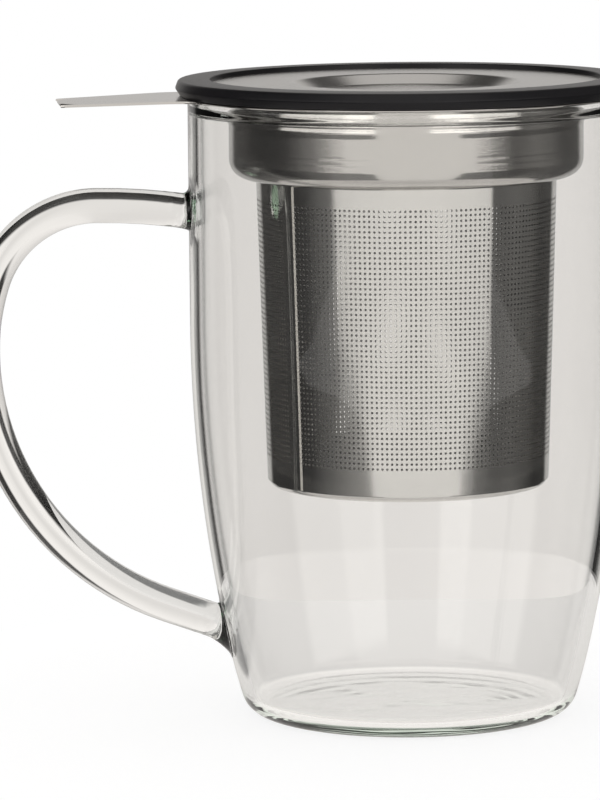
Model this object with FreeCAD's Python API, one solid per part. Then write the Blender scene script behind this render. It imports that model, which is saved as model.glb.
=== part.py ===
# A clear glass tea mug with a lift-out steel infuser and a lift-off lid.
# Millimetres. The origin is the centre of the mug's base, +Z is up and the handle points along -X.
import FreeCAD
import Part
import math
import os

V = FreeCAD.Vector

# Mug body: a blown glass beaker whose straight wall draws in to a smaller foot
BODY_HEIGHT = 122.8
BODY_RADIUS = 43.0
WALL = 2.3
BASE_THICKNESS = 2.6
BELLY_START = 78.0
BELLY_ARC = 300.0
HEEL_START = 13.3
HEEL_ARC = 130.0
FOOT_CORNER = 5.0
INNER_CORNER = 3.0
RIM_ROUND = 0.75
BELLY_BANDS = 4
BELLY_SPREAD = 0.5
OUTER_HEEL_BANDS = 2
INNER_HEEL_BANDS = 1

# Handle: one bent glass rod, melted onto the wall at both ends
ROD_RADIUS = 3.45
HANDLE_BELOW_RIM = 20.6
ARCH_OUT = 18.5
ARCH_ARC = 110.0
SHOULDER_ARC = 21.5
SHOULDER_TURN = 72.0
BACK_ARC = 44.5
SWEEP_ARC = 54.5
SWEEP_TURN = 70.0
ROD_BITE = 1.5
TOP_MELT_ABOVE = 2.0
TOP_MELT_BELOW = 0.4
FOOT_MELT_ABOVE = 0.8
FOOT_MELT_BELOW = 3.0

# Infuser collar: flange, grip tab and drawn cup in one steel sheet
SHEET = 0.5
FLANGE_OVERHANG = 1.3
COLLAR_GAP = 5.7
COLLAR_DEPTH = 15.9
MOUTH_BEND = 1.0
CUP_BEND = 3.6
LEDGE = 5.6
NECK_DEPTH = 3.2
WELD_GAP = 0.05
TAB_REACH = 24.2
TAB_ROOT_WIDTH = 29.0
TAB_TIP_WIDTH = 17.6
TAB_CORNER = 3.0
TAB_ROOT_FILLET = 5.0
TAB_BEND_OUT = 1.6
TAB_DROOP = 0.7

# Infuser basket: a rolled, lap-welded cone of thin sheet with a pressed floor
MESH_SHEET = 0.3
BASKET_LENGTH = 59.6
BASKET_TAPER = 1.8
LAP_WIDTH = 3.3
LAP_AZIMUTH = 212.5
FLOOR_SHEET = 0.4
FLOOR_SKIRT = 4.0
FLOOR_BELOW_WALL = 1.2

# Lid: a dished steel plate moulded into a soft ring
RING_OVERHANG = 1.1
RING_HEIGHT = 3.2
RING_FACE = 6.8
RING_INSET = 1.0
RING_CROWN = 1.5
RING_ROUND = 1.2
RING_LEAN = 0.6
PLATE_SHEET = 0.6
PLATE_BELOW_RING = 0.9
PLATE_BITE = 3.6
WELL_RADIUS = 22.6
WELL_SLOPE_WIDTH = 3.4
WELL_DEPTH = 1.9
SPIGOT_GAP = 0.6
SPIGOT_WIDTH = 1.6
SPIGOT_DEPTH = 2.2

# Round stretches are drawn as chords that leave the arc by no more than this
CHORD_SAG = 0.45
ROD_SAG = 0.6
PLAIN_BAND = 2.1

# Places that several pieces share
RIM_TOP = BODY_HEIGHT
FLANGE_TOP = RIM_TOP + SHEET
FLANGE_RADIUS = BODY_RADIUS + FLANGE_OVERHANG
COLLAR_RADIUS = BODY_RADIUS - WALL - COLLAR_GAP
CUP_FLOOR = RIM_TOP - COLLAR_DEPTH
BASKET_TOP_RADIUS = COLLAR_RADIUS - LEDGE
BASKET_BOTTOM = CUP_FLOOR - BASKET_LENGTH
RING_RADIUS = FLANGE_RADIUS + RING_OVERHANG
RING_TOP = FLANGE_TOP + RING_HEIGHT
PLATE_TOP = RING_TOP - PLATE_BELOW_RING


def basket_radius(z):
    """Outer radius of the basket's cone at height z."""
    return BASKET_TOP_RADIUS - BASKET_TAPER * (CUP_FLOOR - z) / BASKET_LENGTH


def point(corner):
    return V(corner[0], 0, corner[1])


def chord_count(radius, turn, sag):
    """How many chords follow an arc without leaving it by more than the sag."""
    step = 2 * math.acos(1 - min(sag / radius, 1))
    return max(1, math.ceil(turn / step - 1e-6))


def rounded(corners):
    """Points of a closed outline of (x, z, radius) corners; a radius of 0 leaves the corner sharp."""
    points = []
    count = len(corners)
    for i, corner in enumerate(corners):
        here = point(corner)
        radius = corner[2]
        if radius == 0:
            points.append(here)
            continue
        into = (here - point(corners[i - 1])).normalize()
        out = (point(corners[(i + 1) % count]) - here).normalize()
        turn = into.getAngle(out)
        centre = here + (out - into).normalize() * (radius / math.cos(turn / 2))
        arm = here - into * (radius * math.tan(turn / 2)) - centre
        chords = chord_count(radius, turn, CHORD_SAG)
        for k in range(chords + 1):
            part_turn = math.degrees(turn * k / chords)
            points.append(centre + FreeCAD.Rotation(into.cross(out), part_turn).multVec(arm))
    return points


def straight_edge(a, b):
    """A straight edge; a steep slanted one is a spline of degree 1, which turns into one plain band."""
    level_or_upright = min(abs(a.x - b.x), abs(a.z - b.z)) < 1e-7
    if level_or_upright or abs(a.x - b.x) > PLAIN_BAND:
        return Part.LineSegment(a, b).toShape()
    line = Part.BSplineCurve()
    line.buildFromPolesMultsKnots([a, b], [2, 2], [0, 1], False, 1)
    return line.toShape()


def turned(corners, angle=360):
    """Turn an outline of (x, z, radius) corners round the vertical axis."""
    points = rounded(corners)
    edges = []
    for a, b in zip(points, points[1:] + points[:1]):
        edges.append(straight_edge(a, b))
    return Part.Face(Part.Wire(edges)).revolve(V(0, 0, 0), V(0, 0, 1), angle)


def sheet_corners(path, thickness):
    """Close a path of (x, z, bend radius) into a sheet section that lies to the path's left."""
    points = [point(corner) for corner in path]
    normals = []
    for a, b in zip(points, points[1:]):
        along = (b - a).normalize()
        normals.append(V(-along.z, 0, along.x))
    far = []
    for i, corner in enumerate(path):
        before = normals[max(i - 1, 0)]
        after = normals[min(i, len(normals) - 1)]
        mitre = (before + after) * (thickness / (1 + before.dot(after)))
        left_turn = before.cross(after).y < 0
        bend = corner[2]
        if bend > 0:
            bend = bend - thickness if left_turn else bend + thickness
        there = points[i] + mitre
        far.append((there.x, there.z, bend))
    return list(path) + far[::-1]


def sheet_ring(path, thickness):
    return turned(sheet_corners(path, thickness))


# Mug body and handle
def wall_arcs():
    """The centres of the belly's and the heel's arcs, and the lean of the wall where they meet."""
    belly = V(BODY_RADIUS - BELLY_ARC, 0, BELLY_START)
    lean = math.asin((BELLY_START - HEEL_START) / BELLY_ARC)
    heel = belly + V(math.cos(lean), 0, -math.sin(lean)) * (BELLY_ARC - HEEL_ARC)
    return belly, heel, lean


def beaker(inset, bottom, corner, heel_bands):
    """Corners down the mug's side, drawn in by inset, from the rim to the middle of the bottom."""
    belly, heel, lean = wall_arcs()
    foot_lean = math.asin((heel.z - bottom) / (HEEL_ARC - inset))

    def on(centre, radius, angle):
        return (centre.x + radius * math.cos(angle), centre.z - radius * math.sin(angle), 0)

    corners = [(BODY_RADIUS - inset, BODY_HEIGHT, RIM_ROUND)]
    for i in range(BELLY_BANDS + 1):
        share = (i / BELLY_BANDS) ** BELLY_SPREAD
        corners.append(on(belly, BELLY_ARC - inset, lean * share))
    for i in range(1, heel_bands):
        share = i / heel_bands
        corners.append(on(heel, HEEL_ARC - inset, lean + (foot_lean - lean) * share))
    foot = on(heel, HEEL_ARC - inset, foot_lean)
    corners.append((foot[0], bottom, corner))
    corners.append((0, bottom, 0))
    return corners


def outer_side():
    return beaker(0, 0, FOOT_CORNER, OUTER_HEEL_BANDS)


def mug_body():
    inner_side = beaker(WALL, BASE_THICKNESS, INNER_CORNER, INNER_HEEL_BANDS)
    return turned(outer_side() + inner_side[::-1])


def mug_outside():
    return turned([(0, BODY_HEIGHT, 0)] + outer_side())


def wall_at(z):
    """The mug's outer radius at height z, and how far the wall leans in there."""
    belly, heel, lean = wall_arcs()
    if z >= BELLY_START:
        return BODY_RADIUS, 0
    centre, arc = (belly, BELLY_ARC) if z >= HEEL_START else (heel, HEEL_ARC)
    here = math.asin((centre.z - z) / arc)
    return centre.x + arc * math.cos(here), here


def heading_vector(heading):
    return V(math.cos(heading), 0, math.sin(heading))


class Track:
    """Places and headings along a path in the XZ plane that bends smoothly."""

    def __init__(self, start, heading):
        self.stations = [(start, heading)]

    def straight(self, length):
        at, heading = self.stations[-1]
        self.stations.append((at + heading_vector(heading) * length, heading))

    def bend(self, radius, turn):
        """Turn left by the angle, in radians, on an arc of the radius."""
        at, heading = self.stations[-1]
        centre = at + heading_vector(heading + math.pi / 2) * radius
        chords = chord_count(radius + ROD_RADIUS, turn, ROD_SAG)
        for i in range(1, chords + 1):
            there = heading + turn * i / chords
            self.stations.append((centre - heading_vector(there + math.pi / 2) * radius, there))


def rod_track():
    """The rod's middle line, from the wall under the rim round to the wall near the foot."""
    rise = math.asin(ARCH_OUT / ARCH_ARC)
    peak = BODY_HEIGHT - HANDLE_BELOW_RIM
    start = V(-BODY_RADIUS, 0, peak - ARCH_ARC * (1 - math.cos(rise)))
    shoulder_turn = math.radians(SHOULDER_TURN)
    track = Track(start, math.pi - rise)
    track.bend(ARCH_ARC, rise)
    track.bend(SHOULDER_ARC, shoulder_turn)
    track.bend(BACK_ARC, math.pi / 2 - shoulder_turn)
    track.bend(SWEEP_ARC, math.radians(SWEEP_TURN))
    at, heading = track.stations[-1]
    near = 0
    far = -at.x / math.cos(heading)
    while far - near > 1e-6:
        middle = (near + far) / 2
        there = at + heading_vector(heading) * middle
        if -there.x > wall_at(there.z)[0]:
            near = middle
        else:
            far = middle
    track.straight(near)
    return track.stations


def rod_section(centre, heading, tall, wide):
    """A round or oval section across the rod; tall is its half size in the handle's own plane."""
    ahead = heading_vector(heading)
    up = heading_vector(heading + math.pi / 2)
    curve = Part.Circle(V(), V(0, 0, 1), tall) if tall - wide < 1e-6 else Part.Ellipse(V(), tall, wide)
    section = curve.toShape()
    section.Placement = FreeCAD.Placement(centre, FreeCAD.Rotation(up, V(), ahead, "ZXY"))
    return Part.Wire(section)


def melted_end(joint, wall_heading, left, right):
    """Sections where the rod flares onto the wall; left and right are the flare on each side of it."""
    at, heading = joint
    length = max(left, right)
    sections = []
    for share in (0, 0.3, 1):
        flare = 1 - math.sqrt(1 - (1 - share) ** 2)
        tilt = (wall_heading - heading) * (1 - share)
        side = heading_vector(heading + tilt + math.pi / 2)
        centre = at + heading_vector(heading) * (length * share) + side * ((left - right) / 2 * flare)
        spread = (left + right) / 2 * flare
        tall = ROD_RADIUS / math.cos(tilt) + spread
        sections.append((centre, heading + tilt, tall, ROD_RADIUS + spread / 2))
    centre, section_heading, tall, wide = sections[0]
    buried = centre - heading_vector(section_heading) * ROD_BITE
    return [(buried, section_heading, tall, wide)] + sections


def mug_handle():
    """The bent rod with its melted ends, trimmed to the outside of the wall."""
    stations = rod_track()
    top_at, top_heading = stations[0]
    foot_at, foot_heading = stations[-1]
    lean = wall_at(foot_at.z)[1]
    top = melted_end((top_at, top_heading), math.pi, TOP_MELT_BELOW, TOP_MELT_ABOVE)
    back = (foot_at, foot_heading - math.pi)
    foot = melted_end(back, lean + math.pi, FOOT_MELT_BELOW, FOOT_MELT_ABOVE)
    sections = [rod_section(*section) for section in top]
    for at, heading in stations[1:-1]:
        sections.append(rod_section(at, heading, ROD_RADIUS, ROD_RADIUS))
    for centre, heading, tall, wide in foot[::-1]:
        sections.append(rod_section(centre, heading + math.pi, tall, wide))
    return Part.makeLoft(sections, True, True).cut(mug_outside())


# Infuser
def flange_and_tab():
    """The flat flange with its tab, which tapers to a round-cornered tip and droops a little."""
    root = -FLANGE_RADIUS + TAB_ROOT_WIDTH / 4
    tip = -FLANGE_RADIUS - TAB_REACH
    low = RIM_TOP - TAB_REACH
    tall = 2 * TAB_REACH
    corners = [
        V(root, -TAB_ROOT_WIDTH / 2, low),
        V(tip, -TAB_TIP_WIDTH / 2, low),
        V(tip, TAB_TIP_WIDTH / 2, low),
        V(root, TAB_ROOT_WIDTH / 2, low),
    ]
    tab = Part.Face(Part.makePolygon(corners + corners[:1])).extrude(V(0, 0, tall))
    tip_edges = [e for e in tab.Edges if e.BoundBox.XMax < tip + 1e-3 and e.BoundBox.ZLength > 1]
    tab = tab.makeFillet(TAB_CORNER, tip_edges)
    disc = Part.makeCylinder(FLANGE_RADIUS, tall, V(0, 0, low))
    plan = disc.fuse(tab).removeSplitter()
    notch = [e for e in plan.Edges
             if e.BoundBox.ZLength > 1 and e.BoundBox.XLength < 1e-3
             and abs(math.hypot(e.BoundBox.Center.x, e.BoundBox.Center.y) - FLANGE_RADIUS) < 1e-3
             and e.BoundBox.Center.x < root and abs(e.BoundBox.Center.y) > TAB_TIP_WIDTH / 4]
    plan = plan.makeFillet(TAB_ROOT_FILLET, notch)
    bend = -FLANGE_RADIUS - TAB_BEND_OUT
    side = [
        (FLANGE_RADIUS + 1, RIM_TOP),
        (bend, RIM_TOP),
        (tip - 1, RIM_TOP - TAB_DROOP),
        (tip - 1, FLANGE_TOP - TAB_DROOP),
        (bend, FLANGE_TOP),
        (FLANGE_RADIUS + 1, FLANGE_TOP),
    ]
    points = [V(x, -2 * FLANGE_RADIUS, z) for x, z in side]
    sheet = Part.Face(Part.makePolygon(points + points[:1])).extrude(V(0, 4 * FLANGE_RADIUS, 0))
    return plan.common(sheet)


def infuser_collar():
    """Flange, tab and drawn cup with the neck that the basket is welded to."""
    mouth = COLLAR_RADIUS + 2 * MOUTH_BEND
    neck_foot = CUP_FLOOR - NECK_DEPTH
    neck = basket_radius(neck_foot) - MESH_SHEET - WELD_GAP
    path = [
        (neck, neck_foot, 0),
        (neck, CUP_FLOOR, 0),
        (COLLAR_RADIUS, CUP_FLOOR, CUP_BEND),
        (COLLAR_RADIUS, RIM_TOP, MOUTH_BEND),
        (mouth, RIM_TOP, 0),
    ]
    drawn = sheet_ring(path, SHEET)
    hole = Part.makeCylinder(mouth, 4 * SHEET, V(0, 0, RIM_TOP - SHEET))
    return flange_and_tab().cut(hole).fuse(drawn).removeSplitter()


def cone_band(bottom, top, outset):
    """Section of the mesh sheet between two heights, set out from the basket's own cone."""
    low = basket_radius(bottom) + outset
    high = basket_radius(top) + outset
    middle = (bottom + top) / 2
    half_way = (low + high) / 2
    return [
        (low - MESH_SHEET, bottom, 0),
        (low, bottom, 0),
        (half_way, middle, 0),
        (high, top, 0),
        (high - MESH_SHEET, top, 0),
        (half_way - MESH_SHEET, middle, 0),
    ]


def basket_wall():
    """The rolled cone with the strip of its lapped seam."""
    cone = turned(cone_band(BASKET_BOTTOM, CUP_FLOOR, 0))
    lap_angle = math.degrees(LAP_WIDTH / BASKET_TOP_RADIUS)
    lap = turned(cone_band(BASKET_BOTTOM, CUP_FLOOR, MESH_SHEET), lap_angle)
    lap.rotate(V(0, 0, 0), V(0, 0, 1), LAP_AZIMUTH - lap_angle / 2)
    return cone.fuse(lap).removeSplitter()


def basket_floor():
    """A shallow pressed cup whose skirt stands inside the basket's lower edge."""
    bottom = BASKET_BOTTOM - FLOOR_BELOW_WALL
    skirt_top = BASKET_BOTTOM + FLOOR_SKIRT
    radius = basket_radius(BASKET_BOTTOM) - MESH_SHEET - WELD_GAP
    path = [
        (0, bottom, 0),
        (radius, bottom, 0),
        (radius, skirt_top, 0),
    ]
    return sheet_ring(path, FLOOR_SHEET)


# Lid
def lid_plate():
    """The steel plate with its round well."""
    well_floor = WELL_RADIUS - WELL_SLOPE_WIDTH
    under = PLATE_TOP - PLATE_SHEET
    path = [
        (0, under - WELL_DEPTH, 0),
        (well_floor, under - WELL_DEPTH, 0),
        (WELL_RADIUS, under, 0),
        (RING_RADIUS - RING_FACE + PLATE_BITE, under, 0),
    ]
    return sheet_ring(path, PLATE_SHEET)


def lid_ring():
    """The soft ring: it grips the plate's edge, rests on the flange and has a spigot in the collar."""
    inner = RING_RADIUS - RING_FACE
    groove = inner + PLATE_BITE
    under = PLATE_TOP - PLATE_SHEET
    spigot = COLLAR_RADIUS - SHEET - SPIGOT_GAP
    crown = FLANGE_TOP + RING_CROWN
    corners = [
        (spigot - SPIGOT_WIDTH, FLANGE_TOP - SPIGOT_DEPTH, 0),
        (spigot, FLANGE_TOP - SPIGOT_DEPTH, 0),
        (spigot, FLANGE_TOP, 0),
        (RING_RADIUS - RING_INSET, FLANGE_TOP, 0),
        (RING_RADIUS, crown, 0),
        (RING_RADIUS - RING_LEAN, RING_TOP, RING_ROUND),
        (inner, RING_TOP, 0),
        (inner, PLATE_TOP, 0),
        (groove, PLATE_TOP, 0),
        (groove, under, 0),
        (spigot - SPIGOT_WIDTH, under, 0),
    ]
    return turned(corners)


PIECES = {
    "mug_body": mug_body,
    "mug_handle": mug_handle,
    "infuser_collar": infuser_collar,
    "basket_wall": basket_wall,
    "basket_floor": basket_floor,
    "lid_plate": lid_plate,
    "lid_ring": lid_ring,
}

os.makedirs("parts", exist_ok=True)
for name, make in PIECES.items():
    shape = make()
    shape.exportStep("parts/" + name + ".step")
    print(name, shape.isValid(), len(shape.Solids), round(shape.Volume / 1000, 3), "cm3")
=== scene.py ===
import math

import bmesh
import bpy
from mathutils import Matrix, Vector

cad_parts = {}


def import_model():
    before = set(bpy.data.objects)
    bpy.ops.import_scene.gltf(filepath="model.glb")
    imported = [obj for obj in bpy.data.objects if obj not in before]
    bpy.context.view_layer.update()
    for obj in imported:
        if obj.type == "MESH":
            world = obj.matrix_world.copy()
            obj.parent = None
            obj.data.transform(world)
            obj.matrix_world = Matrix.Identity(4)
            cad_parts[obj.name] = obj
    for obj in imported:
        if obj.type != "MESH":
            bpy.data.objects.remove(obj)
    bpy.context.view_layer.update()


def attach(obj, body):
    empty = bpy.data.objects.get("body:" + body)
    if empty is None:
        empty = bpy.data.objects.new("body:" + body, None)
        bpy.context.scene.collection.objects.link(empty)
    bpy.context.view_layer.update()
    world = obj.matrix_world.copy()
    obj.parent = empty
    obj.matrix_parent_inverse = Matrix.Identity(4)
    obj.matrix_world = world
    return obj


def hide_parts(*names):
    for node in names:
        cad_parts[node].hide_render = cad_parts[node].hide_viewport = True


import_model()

MM = 0.001

# Sizes of the mug, in millimetres; the rim's rounding is fitted to the picture
BODY_HEIGHT = 122.8
BODY_RADIUS = 43.0
WALL = 2.3
BASE_THICKNESS = 2.6
BELLY_START = 78.0
BELLY_ARC = 300.0
HEEL_START = 13.3
HEEL_ARC = 130.0
FOOT_CORNER = 5.0
INNER_CORNER = 3.0
RIM_ROUND = 0.9
LIP_BULGE = 0.9
LIP_DEPTH = 3.4

# Sizes of the handle's rod
ROD_RADIUS = 3.45
HANDLE_BELOW_RIM = 20.6
ARCH_OUT = 18.5
ARCH_ARC = 110.0
SHOULDER_ARC = 21.5
SHOULDER_TURN = 72.0
BACK_ARC = 44.5
SWEEP_ARC = 54.5
SWEEP_TURN = 70.0
ROD_BITE = 1.2
TOP_MELT_ABOVE = 2.0
TOP_MELT_BELOW = 0.4
FOOT_MELT_ABOVE = 0.8
FOOT_MELT_BELOW = 3.0
MELT_CLEAR = 0.5
MELT_GATHER = 1.6

# Sizes of the infuser; ledge, mouth's bend and tab's corners are fitted to the picture
SHEET = 0.5
EDGE_ROUND = 0.17
FLANGE_OVERHANG = 1.3
COLLAR_GAP = 5.7
COLLAR_DEPTH = 15.9
MOUTH_BEND = 1.2
MOUTH_RUN = 1.2
CUP_BEND = 3.6
LEDGE = 5.3
NECK_DEPTH = 3.2
NECK_BEND = 0.6
WELD_GAP = 0.05
TAB_REACH = 24.2
TAB_ROOT_WIDTH = 29.0
TAB_TIP_WIDTH = 17.6
TAB_CORNER = 4.8
TAB_ROOT_FILLET = 5.0
TAB_BEND_OUT = 1.6
TAB_DROOP = 0.7
TAB_DROOP_BLEND = 3.0
TAB_SPREAD = math.radians(40)
TAB_FINE = math.radians(26)
MESH_SHEET = 0.3
BASKET_LENGTH = 59.6
BASKET_TAPER = 1.8
LAP_WIDTH = 3.3
LAP_AZIMUTH = 212.5
LAP_COLUMNS = 3
LAP_CROWN = 0.05
LAP_EDGE = 0.08
HOLE_RADIUS = 0.26
HOLE_PITCH = 1.0
HOLE_ROWS = 51
TOP_BAND = 4.25
HOLE_COLUMNS = 188
FLOOR_SHEET = 0.4
FLOOR_SKIRT = 4.0
FLOOR_BELOW_WALL = 1.2
FLOOR_BEND = 0.8

# Sizes of the lid
RING_OVERHANG = 1.1
RING_HEIGHT = 3.2
RING_FACE = 6.8
RING_INSET = 1.0
RING_CROWN = 1.5
RING_LEAN = 0.6
RING_ROUND = 0.7
RING_SLOPE = 0.1
RING_FOOT_ROUND = 0.3
RING_SIDE_ROUND = 0.5
RING_LIP_ROUND = 0.25
PLATE_SHEET = 0.6
PLATE_BELOW_RING = 0.9
PLATE_BITE = 3.6
WELL_RADIUS = 22.6
WELL_SLOPE_WIDTH = 3.4
WELL_DEPTH = 1.9
WELL_BEND = 1.4
SPIGOT_GAP = 0.6
SPIGOT_WIDTH = 1.6
SPIGOT_DEPTH = 2.2
SPIGOT_ROUND = 0.4
SPIGOT_ROOT_ROUND = 0.2

# Places that several pieces share
FLANGE_TOP = BODY_HEIGHT + SHEET
FLANGE_RADIUS = BODY_RADIUS + FLANGE_OVERHANG
COLLAR_RADIUS = BODY_RADIUS - WALL - COLLAR_GAP
CUP_FLOOR = BODY_HEIGHT - COLLAR_DEPTH
BASKET_TOP_RADIUS = COLLAR_RADIUS - LEDGE
BASKET_BOTTOM = CUP_FLOOR - BASKET_LENGTH
RING_RADIUS = FLANGE_RADIUS + RING_OVERHANG
RING_TOP = FLANGE_TOP + RING_HEIGHT
PLATE_TOP = RING_TOP - PLATE_BELOW_RING

# Beads and creases rolled into the collar: (middle height, half width, rise)
BEADS = [(119.9, 1.25, 0.12), (117.9, 1.1, 0.12), (113.1, 0.35, 0.015), (111.9, 0.35, 0.015)]

# Steps of curves and meshes
SEGMENTS = 256
ROD_SIDES = 48
ARC_STEP = math.radians(9)
PATH_STEP = math.radians(3)
RIM_STEPS = 8
LIP_STEPS = 28
BELLY_STEPS = 30
HEEL_STEPS = 8
FOOT_STEPS = 12
MELT_STEPS = 12
BEAD_STEPS = 64
FLANGE_STEPS = 14
FINE_COLUMNS = 180
COARSE_COLUMNS = 220
SHARP = math.radians(40)
MELT_SHARP = math.radians(50)
SQUARE = [(1, 0), (1, 1), (0, 1), (-1, 1), (-1, 0), (-1, -1), (0, -1), (1, -1)]

# The photograph's camera, in metres and radians, and how long light is followed
CAMERA_PLACE = (-0.1197, -0.9752, 0.196)
CAMERA_TURN = math.radians(7.0)
CAMERA_PAN = 0.0218
CAMERA_TILT = 0.1351
CAMERA_ROLL = -0.0093
SENSOR = 36.0
FOCAL_PIXELS = 4994.0
PICTURE_WIDTH = 600
CLIP = (0.05, 20.0)
LIGHT_BOUNCES = 24

# Glass, in metres: its waves as (scale, share of the bump), and how they fade with distance
GLASS_INDEX = 1.47
GLASS_TINT = (0.62, 0.86, 0.68, 1)
GLASS_DENSITY = 9.0
GLASS_BUMP = 0.0004
WAVES = (45.0, 0.05)
JOINT_WAVES = (420.0, 0.5)
JOINT_FADE = (0.0035, 0.0075)
FOOT_WAVES = (75.0, 0.6)
FOOT_FADE = (0.020, 0.031)

# Steel: (colour, roughness, depth of the grain in metres)
COLLAR_STEEL = ((0.565, 0.547, 0.522), 0.12, 0.000012)
LID_STEEL = ((0.60, 0.59, 0.57), 0.22, 0.000006)
BASKET_STEEL = ((0.65, 0.635, 0.61), 0.08, 0.0000006)
COLLAR_BRUSHED = 0.4
BASKET_BRUSHED = 0.2
# Painted light: the basket's inward-facing faces turn to a pale matt non-metal, so the inside seen
# through the holes reads lighter
BASKET_PAINTED_PALE_INSIDE = 0.85
PAINTED_PALE_STEEL = (0.88, 0.87, 0.85)
DULL_SHARE = 0.96
ROUGHNESS_BASE = 1.5
GRAIN_SCALE = 2500.0
STREAK_SCALE = 3500.0
STREAKS_ROUND = 14.0
INWARD_FACING = (-0.012, -0.006)

# Silicone
SILICONE_INDEX = 1.43
SILICONE_SPECULAR = 0.33
SILICONE_SHEEN = 0.02
SILICONE_DARK = (0.005, 0.005, 0.006)
SILICONE_PALE = (0.009, 0.008, 0.010)
SILICONE_ROUGHNESS = [(0.0, 0.28), (1.0, 0.38)]
DUST_SCALE = 900.0

# Table and backdrop
WHITE = (1.0, 1.0, 1.0)
BLACK = (0.0, 0.0, 0.0)
BACKDROP = (0.70, 0.668, 0.645)
FLOOR_RADIUS = 0.125
FLOOR_DROP = 0.00003
FLOOR_COLOUR = (0.22, 0.22, 0.22, 1)
FLOOR_SEEN = 0.82
FLOOR_MIRRORED = 0.78
# Seen only through the glass: a painted glow on the floor under the foot, dimmer beyond it
FLOOR_PAINTED_GLOW_UNDER_FOOT = 1.22
FLOOR_BEYOND = 0.84
FOOT_REACH = 0.036
FOOT_SOFT = 0.002
# Seen only through the glass: a painted dark patch of shade on the floor to the left, just behind the
# mug
PATCH_LEFT = (-0.046, -0.042)
PATCH_NEAR = (0.012, 0.018)
PATCH_FAR = (0.040, 0.046)
PAINTED_PATCH_SHADE = 0.95

# What bright metal sees: (height, edge) of the front light, and (azimuth, level) beside it, in degrees
FRONT_LEFT = [(-15.0, 20.0), (-13.5, 24.0), (-12.0, 30.0), (-11.0, 39.0), (-10.1, 54.0), (-8.5, 60.0),
              (-7.0, 50.0), (-5.0, 40.0), (20.0, 38.0)]
FRONT_RIGHT = [(-15.0, 36.0), (-12.3, 43.0), (-12.0, 44.5), (-10.95, 56.0), (-10.0, 68.0), (-8.5, 68.0),
               (-7.0, 58.0), (-5.0, 46.0), (20.0, 40.0)]
SHOULDER_HEIGHT = (-10.0, -7.0)
LOW_SHOULDER = 0.55
SHOULDERS = [(-138.0, 0.04), (-95.0, 0.025), (-83.0, 0.03), (-73.0, 0.12), (-60.0, 0.26), (-40.0, 0.45),
             (40.0, 0.38), (58.0, 0.21), (74.0, 0.15), (92.0, 0.24), (106.0, 0.18), (122.0, 0.06)]
FRONT_SOFT = 1.6
BACK_EDGE = 148.0
BACK_SOFT = 5.0
BACK_LEVEL = 0.54
BACK_HEIGHT = (17.0, 28.0)
ROOM_TONE = (1.0, 0.975, 0.95)
OVERHEAD = (0.05, 0.30, 0.95)
OVERHEAD_SPREAD = 27.0
OVERHEAD_SOFT = 3.0
OVERHEAD_LEVEL = 0.72

# Softboxes: (azimuth, height, half width, half height), in degrees
BOXES = [(-53.0, 10.5, 33.0, 9.0), (46.0, 10.5, 30.0, 9.0)]
BOX_SOFT = 2.0
BOX_LEVEL = 1.15

# What shows through glass: (degrees right of the backdrop's middle, level) and (height, level)
BEHIND = [(-130.0, 0.9), (-118.0, 0.5), (-75.0, 0.5), (-60.0, 0.9), (-33.0, 1.1), (-16.5, 1.3),
          (-8.0, 1.24), (-5.8, 1.17), (-2.0, 1.07), (0.0, 1.07), (4.7, 1.21), (6.2, 1.25), (10.0, 1.33),
          (16.0, 1.33), (20.0, 0.03), (36.0, 0.03), (42.0, 0.9), (60.0, 0.8), (75.0, 0.15),
          (118.0, 0.15), (130.0, 0.9)]
BELOW = [(-58.0, 0.9), (-46.0, 0.03), (-21.0, 0.03), (-17.0, 1.0)]
ABOVE = [(22.0, 0.0), (30.0, 1.0)]
LOW_LEFT = [(-33.0, 0.0), (-29.0, 0.97), (-20.0, 0.97), (-16.5, 0.0)]
LOW_LEFT_TOP = (1.0, 7.0)


# Outlines
def basket_radius(z):
    return BASKET_TOP_RADIUS - BASKET_TAPER * (CUP_FLOOR - z) / BASKET_LENGTH


def rounded(corners):
    """Points of a closed outline of (r, z, radius) corners; a radius of 0 leaves the corner sharp."""
    points = []
    count = len(corners)
    for i, (r, z, radius) in enumerate(corners):
        here = Vector((r, z))
        if radius == 0:
            points.append(here)
            continue
        before = corners[i - 1]
        after = corners[(i + 1) % count]
        into = (here - Vector(before[:2])).normalized()
        out = (Vector(after[:2]) - here).normalized()
        turn = into.angle(out)
        side = math.copysign(1, into.x * out.y - into.y * out.x)
        centre = here + (out - into).normalized() * (radius / math.cos(turn / 2))
        arm = here - into * (radius * math.tan(turn / 2)) - centre
        steps = max(2, math.ceil(turn / ARC_STEP))
        for k in range(steps + 1):
            points.append(centre + Matrix.Rotation(side * turn * k / steps, 2) @ arm)
    return points


def sheet_corners(path, thickness):
    """Close a path of (r, z, bend) into a sheet section that lies to the path's left."""
    points = [Vector(corner[:2]) for corner in path]
    normals = []
    for a, b in zip(points, points[1:]):
        along = (b - a).normalized()
        normals.append(Vector((-along.y, along.x)))
    far = []
    for i, corner in enumerate(path):
        before = normals[max(i - 1, 0)]
        after = normals[min(i, len(normals) - 1)]
        mitre = (before + after) * (thickness / (1 + before.dot(after)))
        left_turn = before.x * after.y - before.y * after.x > 0
        bend = corner[2]
        if bend > 0:
            bend = bend - thickness if left_turn else bend + thickness
        there = points[i] + mitre
        far.append((there.x, there.y, bend))
    return list(path) + far[::-1]


# Mesh builders
def add_object(name, verts, faces):
    mesh = bpy.data.meshes.new(name)
    mesh.from_pydata(verts, [], faces)
    mesh.validate()
    smooth(mesh)
    obj = bpy.data.objects.new(name, mesh)
    bpy.context.scene.collection.objects.link(obj)
    return obj


def smooth(mesh):
    work = bmesh.new()
    work.from_mesh(mesh)
    bmesh.ops.recalc_face_normals(work, faces=work.faces)
    work.to_mesh(mesh)
    work.free()
    mesh.shade_smooth()
    mesh.set_sharp_from_angle(angle=SHARP)


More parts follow.
